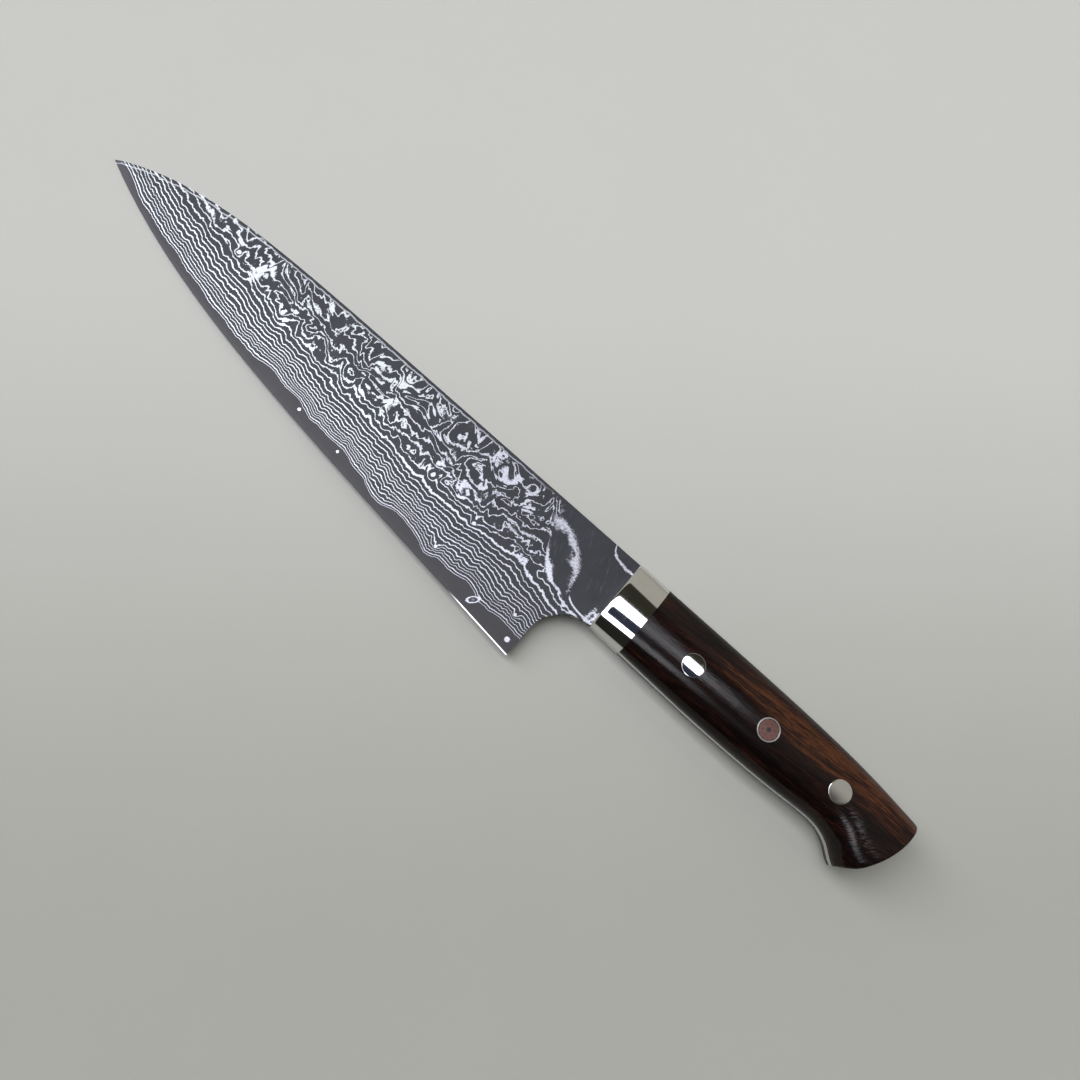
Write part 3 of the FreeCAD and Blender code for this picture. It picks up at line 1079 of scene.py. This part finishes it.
def damascus_steel():
    """Etched laminate: the ground surface cuts through a stack of thin uneven layers."""
    material, tree, shader = new_material("etched_laminate", 1.0, 0.4)
    x, y, z = knife_place(tree)
    above = attribute(tree, "above_edge")
    below = attribute(tree, "below_spine")
    core_line = attribute(tree, "core_line")
    side = z.math("SIGN") * 15.0 + 15.0
    bright, depth = layer_mask(x, y, above, below, core_line, side)

    cloud = noise(x / 5.0, y / 9.0, side + 3.0, 4.0, 0.6) * 0.5 + 0.5
    mottle = noise(x / 0.5, y / 0.5, side + 3.0, 4.0, 0.7) * 0.5 + 0.5
    scratch = noise(x / 14.0, y / 0.12, side, 2.0, 0.6) * 0.5 + 0.5
    dark = grey_mix(cloud * 0.6 + scratch * 0.4, DARK_LAYER, COOL)
    towards_heel = x.fade(-95.0, -45.0)
    cool = grey_mix(mottle.fade(0.25, 0.55), TIP_LAYER, SILVER)
    lavender = grey_mix(mottle.fade(0.25, 0.55), HEEL_LAYER, LAVENDER)
    light = colour_mix(towards_heel, cool, lavender)
    etched = colour_mix(bright, dark, light)
    core = grey_mix(cloud * 0.4 + scratch * 0.6, CORE_BAND, CORE_TINT)
    face = colour_mix(depth.fade(-0.02, 0.02).math("MAXIMUM", bright), core, etched)
    # bright polished edge line, kept to the heel end where the edge glints: partly the real polished edge,
    # partly painted highlight
    edge_polish_and_highlight = above.fade(0.42, 0.28) * x.fade(-38.0, -30.0)
    ground = colour_mix(edge_polish_and_highlight, face, grey(EDGE_POLISH_AND_HIGHLIGHT_GREY))
    tang = x.fade(0.4, 0.8)
    polished = grey_mix(scratch, TANG_STEEL)
    drive(shader, "Base Color", colour_mix(tang, ground, polished))
    rough = 0.47 + scratch * 0.08 - bright * 0.12 - edge_polish_and_highlight * 0.22 - tang * 0.25
    drive(shader, "Roughness", rough)
    height = bright * 0.8 + scratch * 0.12 + depth.fade(0.05, -0.05) * 0.3
    bump(shader, height, ETCH_DEPTH, 0.6)
    return material


def satin_steel(name, base, roughness):
    """Ground steel with fine straight marks along the knife."""
    material, tree, shader = new_material(name, 1.0, roughness)
    x, y, z = knife_place(tree)
    marks = noise(x / 9.0, y / 0.08, z / 0.08, 3.0, 0.6)
    smear = noise(x / 4.0, y / 4.0, z / 4.0, 4.0, 0.6) * 0.5 + 0.5
    share = marks * 0.25 + smear * 0.5 + 0.25
    drive(shader, "Base Color", colour_mix(share, grey(base * 0.9), grey(base * 1.08)))
    drive(shader, "Roughness", marks * 0.04 + smear * 0.06 + (roughness - 0.03))
    bump(shader, marks * 0.5 + 0.5, 0.000003, 0.5)
    return material


BUFFED_DEEP = (0.66, 0.6534, 0.6336, 1.0)
BUFFED_PALE = (0.74, 0.7326, 0.7178, 1.0)


def mirror_steel():
    """Buffed steel: hairline marks and faint smears."""
    material, tree, shader = new_material("mirror_steel", 1.0, 0.05)
    x, y, z = knife_place(tree)
    smear = noise(x / 3.5, y / 3.5, z / 3.5, 4.0, 0.65) * 0.5 + 0.5
    hairs = noise(x / 0.15, y / 6.0, z / 2.0, 3.0, 0.7) * 0.5 + 0.5
    drive(shader, "Base Color", colour_mix(smear, BUFFED_DEEP, BUFFED_PALE))
    drive(shader, "Roughness", smear * 0.05 + hairs.fade(0.62, 0.75) * 0.10 + 0.02)
    bump(shader, hairs * 0.5 + smear * 0.5, 0.000004, 0.4)
    return material


WOOD_BLACK = (0.0032, 0.0013, 0.0012, 1.0)
WOOD_BROWN = (0.0145, 0.0046, 0.0031, 1.0)
WOOD_RED = (0.092, 0.030, 0.0105, 1.0)
WOOD_PORE = (0.003, 0.0012, 0.001, 1.0)


def lacquered_wood():
    """Dark reddish hardwood under a clear coat, with streaked grain along the handle."""
    material, tree, shader = new_material("lacquered_wood", 0.0, 0.4)
    x, y, z = knife_place(tree)
    side = z.math("SIGN") * 20.0 + 20.0
    bend = noise(x / 40.0, y / 18.0, side, 2.0, 0.5) * 3.4
    across = y + bend - x * 0.04
    bands = noise(x / 40.0, across / 2.8, z / 5.0 + side, 4.0, 0.65) * 0.5 + 0.5
    fibres = noise(x / 9.0, across / 0.42, z / 1.0 + side, 4.0, 0.7) * 0.5 + 0.5
    pores = noise(x / 2.6, across / 0.17, z / 0.3 + side, 2.0, 0.7) * 0.5 + 0.5
    crown = y.fade(-17.0, -8.5) * y.fade(-0.5, -5.0)
    rear = x.fade(26.0, 66.0)
    tone = (bands - 0.5) * 1.8 + (fibres - 0.5) * 2.0 + crown * (rear * 0.36 + 0.26) + 0.08
    dark = colour_mix(tone.fade(0.0, 0.42), WOOD_BLACK, WOOD_BROWN)
    warm = colour_mix(tone.fade(0.40, 1.0), dark, WOOD_RED)
    colour = colour_mix(pores.fade(0.50, 0.66) * 0.8, warm, WOOD_PORE)
    drive(shader, "Base Color", colour)
    drive(shader, "Roughness", fibres * 0.12 + 0.38)
    shader.inputs["Specular IOR Level"].default_value = 0.03
    shader.inputs["Coat Weight"].default_value = 0.44
    shader.inputs["Coat Roughness"].default_value = 0.10
    shader.inputs["Coat IOR"].default_value = 1.5
    brushed = noise(x / 1.6, across / 0.5, z + side, 3.0, 0.6) * 0.5 + 0.5
    hollow = noise(x / 9.0, y / 5.0, z / 5.0 + side, 2.0, 0.5) * 0.5 + 0.5
    strokes = noise((x - y) / 0.8, (x + y) / 6.0, side, 2.0, 0.6) * x.fade(84.0, 92.0)
    relief = fibres * 0.010 + brushed * 0.022 + hollow * 0.05 + strokes * 0.030
    bump(shader, relief, MM, 1.0, coat=True)
    return material


COPPER = (0.20, 0.105, 0.090, 1.0)


def copper_rods():
    """Ground ends of the copper rods, with a fine uneven grain."""
    material, tree, shader = new_material("copper", 1.0, 0.42)
    x, y, z = knife_place(tree)
    grain = noise(x / 0.25, y / 0.25, z / 0.25, 4.0, 0.7) * 0.5 + 0.5
    dark = tuple(v * 0.7 for v in COPPER[:3]) + (1.0,)
    drive(shader, "Base Color", colour_mix(grain, dark, COPPER))
    drive(shader, "Roughness", grain * 0.15 + 0.35)
    bump(shader, grain, 0.000006, 0.5)
    return material


RESIN_DARK = (0.035, 0.018, 0.015, 1.0)
RESIN_RED = (0.085, 0.045, 0.038, 1.0)
RESIN_PAINTED_SHADE = (0.02, 0.009, 0.009, 1.0)


def pin_resin():
    """Reddish filling, darkened by the tube wall and round the centre rod as painted shade."""
    material, tree, shader = new_material("pin_resin", 0.0, 0.35)
    x, y, z = knife_place(tree)
    reach = round_distance(x, y, (MOSAIC_PIN_X, PIN_Y))
    grain = noise(x / 0.3, y / 0.3, z / 0.3, 3.0, 0.6) * 0.5 + 0.5
    # painted shade: darker in the gaps by the tube wall and round the centre rod
    resin_painted_shade = reach.fade(2.2, 2.5).math("MAXIMUM", reach.fade(1.0, 0.7))
    shallow = colour_mix(grain, RESIN_DARK, RESIN_RED)
    drive(shader, "Base Color", colour_mix(resin_painted_shade, shallow, RESIN_PAINTED_SHADE))
    drive(shader, "Roughness", grain * 0.2 + 0.25)
    bump(shader, grain, 0.000008, 0.5)
    return material


# ---- stage -----------------------------------------------------------------------------------

FLOOR_TILT_X = 0.035
FLOOR_TILT_Y = 0.0575
FLOOR_SIZE = 6.0
# the paper's colour, and a darker copy of it used as painted shade on one side
PAPER_PALE = ((0.59, 0.587, 0.545, 1.0), (0.62, 0.617, 0.575, 1.0))
PAPER_PAINTED_SHADE = ((0.39, 0.387, 0.342, 1.0), (0.42, 0.417, 0.370, 1.0))
PAINTED_SHADE_DIRECTION = (0.656, -0.755)
PAPER_MIDDLE = 42.0  # shifts the border of the paper's painted shade, in mm


def make_floor():
    """Pale paper that the knife's tip and right scale rest on, darkened towards one side as painted shade.
    """
    normal = Vector((FLOOR_TILT_X, FLOOR_TILT_Y, 1.0)).normalized()
    support = lowest_support(normal)
    mesh = bpy.data.meshes.new("paper")
    half = FLOOR_SIZE / 2
    corners = [(-half, -half, 0), (half, -half, 0), (half, half, 0), (-half, half, 0)]
    mesh.from_pydata(corners, [], [(0, 1, 2, 3)])
    floor = bpy.data.objects.new("paper", mesh)
    bpy.context.scene.collection.objects.link(floor)
    floor.rotation_mode = "QUATERNION"
    floor.rotation_quaternion = Vector((0, 0, 1)).rotation_difference(normal)
    floor.location = support
    material, tree, shader = new_material("paper", 0.0, 0.9)
    coordinates = tree.nodes.new("ShaderNodeTexCoord")
    split = tree.nodes.new("ShaderNodeSeparateXYZ")
    tree.links.new(coordinates.outputs["Object"], split.inputs[0])
    px, py = [Term(tree, split.outputs[k]) / MM for k in range(2)]
    cloud = noise(px / 60.0, py / 60.0, 0.0, 4.0, 0.6) * 0.5 + 0.5
    fibre = noise(px / 0.8, py / 0.8, 1.0, 4.0, 0.7) * 0.5 + 0.5
    # painted shade: the paper's colour darkens towards one side, in place of the light's falloff across
    # the floor
    painted_shade_reach = px * PAINTED_SHADE_DIRECTION[0] + py * PAINTED_SHADE_DIRECTION[1] + PAPER_MIDDLE
    pulp = cloud * 0.6 + fibre * 0.4
    pale, shade = colour_mix(pulp, *PAPER_PALE), colour_mix(pulp, *PAPER_PAINTED_SHADE)
    drive(shader, "Base Color", colour_mix(painted_shade_reach.fade(-100.0, 120.0), pale, shade))
    bump(shader, fibre, 0.00008, 0.25)
    mesh.materials.append(material)


def lowest_support(normal):
    """The point of the object that is lowest along the floor's normal."""
    lowest = None
    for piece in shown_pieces():
        for vertex in piece.data.vertices:
            place = piece.matrix_world @ vertex.co
            if lowest is None or place.dot(normal) < lowest.dot(normal):
                lowest = place
    return lowest


CAMERA_TARGET = (-27.0, -14.0, 0.0)
CAMERA_DISTANCE = 324.6
CAMERA_LEAN_X = math.radians(2.1)
CAMERA_LEAN_Y = math.radians(15.0)
CAMERA_ROLL = math.radians(41.0)
LENS = 37.0


def make_camera():
    lean_x, lean_y = math.sin(CAMERA_LEAN_X), -math.sin(CAMERA_LEAN_Y)
    back = Vector((lean_x, lean_y, math.sqrt(1 - lean_x**2 - lean_y**2)))
    right = (Vector((1, 0, 0)) - back * back.x).normalized()
    up = back.cross(right)
    turned_right = right * math.cos(CAMERA_ROLL) + up * math.sin(CAMERA_ROLL)
    turned_up = up * math.cos(CAMERA_ROLL) - right * math.sin(CAMERA_ROLL)
    camera = bpy.data.objects.new("camera", bpy.data.cameras.new("camera"))
    camera.data.lens = LENS
    camera.data.sensor_width = 36.0
    camera.data.clip_start = 0.01
    camera.data.clip_end = 20.0
    place = at(*(Vector(CAMERA_TARGET) + back * CAMERA_DISTANCE))
    turn = Matrix((turned_right, turned_up, back)).transposed().to_4x4()
    camera.matrix_world = Matrix.Translation(place) @ turn
    bpy.context.scene.collection.objects.link(camera)
    bpy.context.scene.camera = camera
    return camera


def sky_angles(tree):
    """How far a direction leans from straight up, in degrees, towards +X and +Y; and its rise."""
    coordinates = tree.nodes.new("ShaderNodeTexCoord")
    split = tree.nodes.new("ShaderNodeSeparateXYZ")
    tree.links.new(coordinates.outputs["Generated"], split.inputs[0])
    dx, dy, dz = [Term(tree, split.outputs[k]) for k in range(3)]
    return [d.math("ARCTAN2", dz) * math.degrees(1.0) for d in (dx, dy)] + [dz]


def window(lean, low, high, soft):
    """1 where lean is between low and high, with soft borders."""
    return lean.fade(low - soft, low + soft) * lean.fade(high + soft, high - soft)


SOFTBOX_X = (-62.0, 9.0)
SOFTBOX_Y = (-21.0, 14.0)
SOFTBOX_SLANT = 0.2  # degrees that its side edges lean for each degree of lean_y
DARK_GAP_X = (-70.0, 11.0)
DARK_GAP_Y = (14.0, 29.0)
STAND_X = (-50.0, 60.0)
STAND_Y = (-78.0, -21.0)
SIDE_X = (12.0, 60.0)
SIDE_Y = (-24.0, 5.0)
CAMERA_SHADE = (2.5, -3.0)
CAMERA_SHADE_HALF = (9.0, 7.7)
WARM_WALL = (0.46, 0.445, 0.395, 1.0)
GREY_WALL = (0.33, 0.32, 0.29, 1.0)
GAP_DARK = (0.035, 0.034, 0.024, 1.0)
STAND_DARK = (0.02, 0.02, 0.018, 1.0)
SIDE_GREY = (0.10, 0.098, 0.095, 1.0)
SOFTBOX_LIGHT = (5.4, 5.5, 5.9, 1.0)
SHADE_DARK = (0.03, 0.035, 0.06, 1.0)


def make_lights():
    """A broad softbox over the knife in a pale room, with a dark screen on each side of it."""
    world = bpy.data.worlds.new("studio")
    world.use_nodes = True
    bpy.context.scene.world = world
    bpy.context.scene.view_settings.view_transform = "Standard"
    tree = world.node_tree
    lean_x, lean_y, rise = sky_angles(tree)
    gap = window(lean_y, *DARK_GAP_Y, 1.0) * window(lean_x, *DARK_GAP_X, 3.0)
    stand = window(lean_y, *STAND_Y, 4.0) * window(lean_x, *STAND_X, 8.0)
    side = window(lean_y, *SIDE_Y, 12.0) * window(lean_x, *SIDE_X, 3.0)
    slanted = lean_x - (lean_y - SOFTBOX_Y[1]) * SOFTBOX_SLANT
    box = window(lean_y, *SOFTBOX_Y, 1.0) * window(slanted, *SOFTBOX_X, 1.5)
    off_x = ((lean_x - CAMERA_SHADE[0]) / CAMERA_SHADE_HALF[0]).math("ABSOLUTE").math("POWER", 3.0)
    off_y = ((lean_y - CAMERA_SHADE[1]) / CAMERA_SHADE_HALF[1]).math("ABSOLUTE").math("POWER", 3.0)
    shade = (off_x + off_y).fade(1.25, 0.8)
    warm_side = (lean_x.fade(0.0, 40.0) - 0.5) * rise.fade(0.0, 0.35) + 0.5
    walls = colour_mix(warm_side, WARM_WALL, GREY_WALL)
    room = colour_mix(gap, walls, GAP_DARK)
    room = colour_mix(stand, room, STAND_DARK)
    room = colour_mix(side, room, SIDE_GREY)
    lit = colour_mix(box, room, SOFTBOX_LIGHT)
    sky = colour_mix(shade, lit, SHADE_DARK)
    tree.links.new(sky, tree.nodes["Background"].inputs["Color"])


# ---- the whole -------------------------------------------------------------------------------

tool = hole_tool()
make_steel(damascus_steel(), tool)
mirror = mirror_steel()
make_bolsters(mirror, tool)
make_scales(lacquered_wood(), tool)
bpy.data.objects.remove(tool)
make_rivets(mirror)
make_mosaic(
    satin_steel("tube_steel", 0.42, 0.3),
    copper_rods(),
    satin_steel("centre_steel", 0.05, 0.45),
    pin_resin(),
)
dowel_steel = satin_steel("dowel_steel", 0.6, 0.25)
for node in ("bolster_dowel_upper", "bolster_dowel_lower"):
    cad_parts[node].data.materials.clear()
    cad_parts[node].data.materials.append(dowel_steel)
make_floor()
make_camera()
make_lights()
